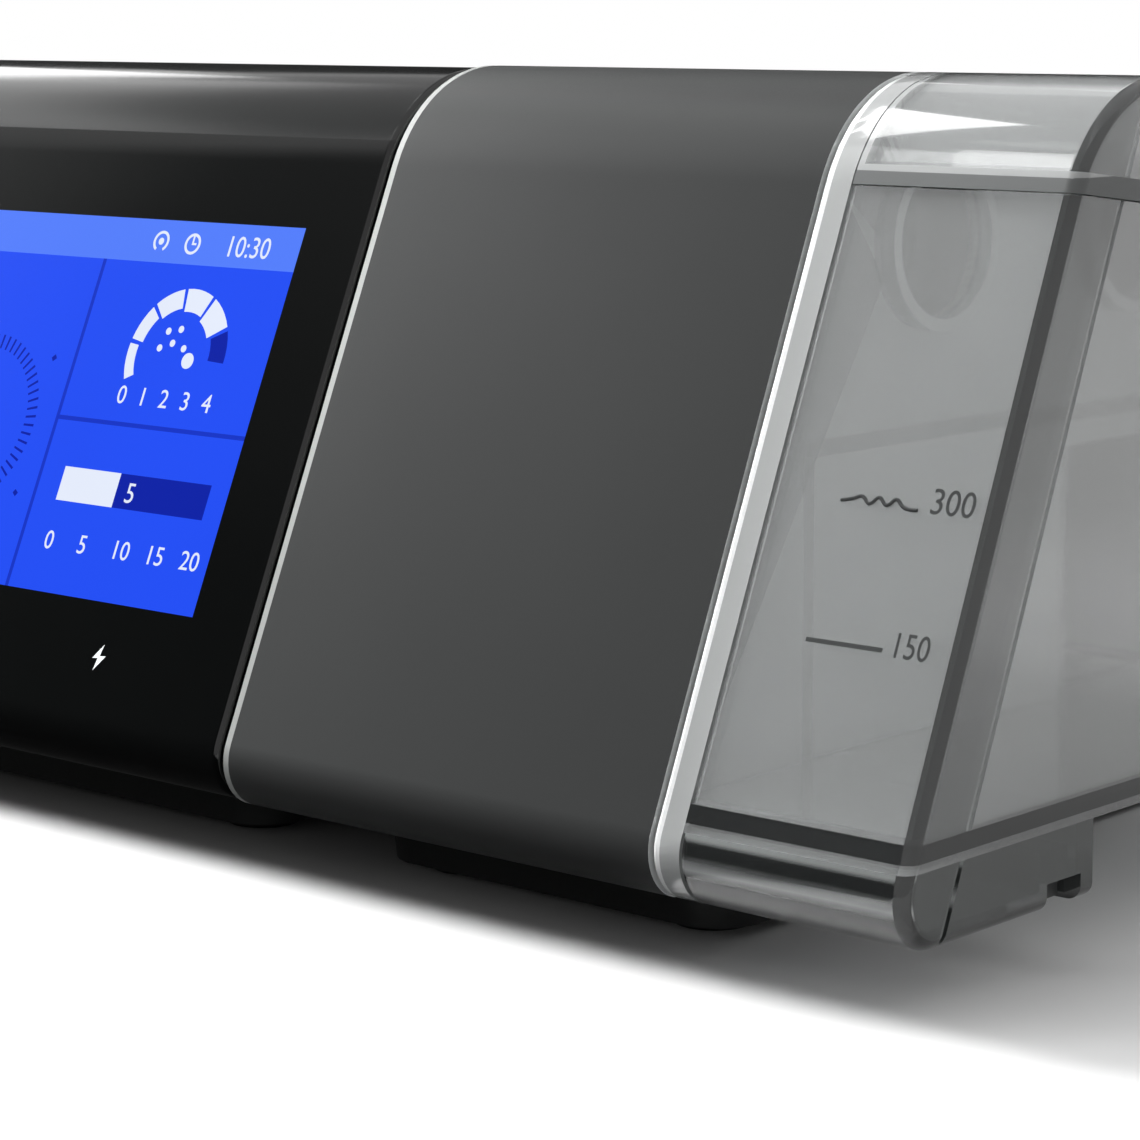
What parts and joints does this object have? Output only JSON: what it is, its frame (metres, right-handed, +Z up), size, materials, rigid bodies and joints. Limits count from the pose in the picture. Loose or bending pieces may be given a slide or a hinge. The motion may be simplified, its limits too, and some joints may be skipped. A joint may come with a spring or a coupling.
{
  "type": "cpap machine",
  "caption": "Bedside breathing machine with a blue screen in a gloss front, a satin grey humidifier cover and a clear slide-out water chamber at the right end.",
  "frame": {"origin": "on the table, below the middle of the bounding box", "axes": "+X towards the water chamber, along the machine's length; +Y to the back, where the hose leaves; +Z up"},
  "size_m": [0.23, 0.146, 0.0992],
  "materials": {
    "gloss_black": "high gloss",
    "screen": "clear lens over a lit blue panel",
    "screen_panel": "lit panel in a thin frame",
    "housing_black": "gloss",
    "base_grey": "fine texture",
    "feet_rubber": "matte",
    "steel": "zinc plated",
    "edge_silver": "satin silver",
    "seal_black": "matte",
    "cover_grey": "satin, fine texture",
    "bay_grey": "satin",
    "seal_grey": "soft matte",
    "blower_grey": "moulded",
    "impeller_white": "moulded",
    "motor_metal": "turned",
    "foam": "open foam",
    "duct_black": "moulded",
    "outlet_grey": "satin",
    "filter_white": "soft fibre",
    "contact_brass": "plated",
    "board_green": "solder mask",
    "knob_black": "soft touch",
    "key_grey": "satin",
    "plate_metal": "polished",
    "clear": "clear polycarbonate"
  },
  "bodies": {
    "machine": {"display_fascia": "gloss_black", "screen_window": "screen", "lcd_module": "screen_panel", "main_housing": "housing_black", "main_base": "base_grey", "humidifier_base": "base_grey", "rubber_feet": "feet_rubber", "base_screws": "steel", "cover_edge_trim": "edge_silver", "seam_gasket": "seal_black", "humidifier_cover": "cover_grey", "docking_bay": "bay_grey", "port_seals": "seal_grey", "volute_upper": "blower_grey", "volute_lower": "blower_grey", "blower_motor": "motor_metal", "silencer_foam": "foam", "inlet_duct": "duct_black", "outlet_duct": "duct_black", "air_outlet": "outlet_grey", "air_filter": "filter_white", "card_reader": "duct_black", "power_inlet": "duct_black", "inlet_contacts": "contact_brass", "main_board": "board_green", "control_board": "board_green", "encoder": "duct_black", "key_switches": "duct_black", "heater_springs": "steel"},
    "chamber": {"chamber_tub": "clear", "chamber_floor": "clear", "chamber_skirt": "clear", "heat_plate": "plate_metal", "plate_seal": "seal_grey", "inlet_tube": "clear", "outlet_tube": "clear", "lever_pin": "steel", "lid_hinge_pin": "steel"},
    "lid": {"chamber_lid": "clear", "lid_seal": "seal_grey"},
    "lever": {"release_lever": "key_grey"},
    "heater": {"heater_plate": "plate_metal"},
    "rotor": {"impeller": "impeller_white", "rotor_shaft": "steel"},
    "knob_stem": {"encoder_plunger": "steel"},
    "knob": {"knob_cap": "knob_black", "knob_ring": "edge_silver", "knob_shaft": "steel"},
    "home_key": {"home_button": "key_grey"},
    "ramp_key": {"ramp_button": "key_grey"},
    "start_key": {"start_button": "key_grey"},
    "filter_door": {"filter_cover": "housing_black"},
    "card_flap": {"card_door": "housing_black"}
  },
  "joints": [
    {"name": "chamber_slide", "type": "slide", "parent": "machine", "child": "chamber", "axis": [1, 0, 0], "range_m": [0, 0.06]},
    {"name": "lid_hinge", "type": "hinge", "parent": "chamber", "child": "lid", "pos_m": [0.09895, 0.0556, 0.07742], "axis": [-1, 0, 0], "range_deg": [0, 105]},
    {"name": "lever_press", "type": "hinge", "parent": "chamber", "child": "lever", "pos_m": [0.0969, -0.0427, 0.0132], "axis": [0, -1, 0], "range_deg": [0, 3.5], "stiffness_Nm_per_rad": 0.3, "springref_deg": -2.86},
    {"name": "heater_float", "type": "slide", "parent": "machine", "child": "heater", "axis": [0, 0, -1], "range_m": [0, 0.0015], "stiffness_N_per_m": 2000, "springref_m": -0.001, "deforming": ["heater_springs"]},
    {"name": "fan_spin", "type": "hinge", "parent": "machine", "child": "rotor", "pos_m": [-0.052, -0.0025, 0.079], "axis": [0, 0, 1], "continuous": true},
    {"name": "knob_press", "type": "slide", "parent": "machine", "child": "knob_stem", "axis": [0, 0.9191, -0.3939], "range_m": [0, 0.0008], "stiffness_N_per_m": 600, "springref_m": -0.0003},
    {"name": "knob_turn", "type": "hinge", "parent": "knob_stem", "child": "knob", "pos_m": [-0.093, -0.05542, 0.05574], "axis": [0, -0.9191, 0.3939], "continuous": true},
    {"name": "home_press", "type": "slide", "parent": "machine", "child": "home_key", "axis": [0, 0.9191, -0.3939], "range_m": [0, 0.0006], "stiffness_N_per_m": 400, "springref_m": -0.0003},
    {"name": "ramp_press", "type": "slide", "parent": "machine", "child": "ramp_key", "axis": [0, 0.9191, -0.3939], "range_m": [0, 0.0006], "stiffness_N_per_m": 400, "springref_m": -0.0003},
    {"name": "start_press", "type": "slide", "parent": "machine", "child": "start_key", "axis": [0, -0.0349, -0.9994], "range_m": [0, 0.0007], "stiffness_N_per_m": 400, "springref_m": -0.0003},
    {"name": "filter_cover_hinge", "type": "hinge", "parent": "machine", "child": "filter_door", "pos_m": [-0.083, 0.05145, 0.0235], "axis": [-1, 0, 0], "range_deg": [0, 95]},
    {"name": "card_door_hinge", "type": "hinge", "parent": "machine", "child": "card_flap", "pos_m": [-0.11375, 0.001, 0.0315], "axis": [0, -1, 0], "range_deg": [0, 100]}
  ]
}
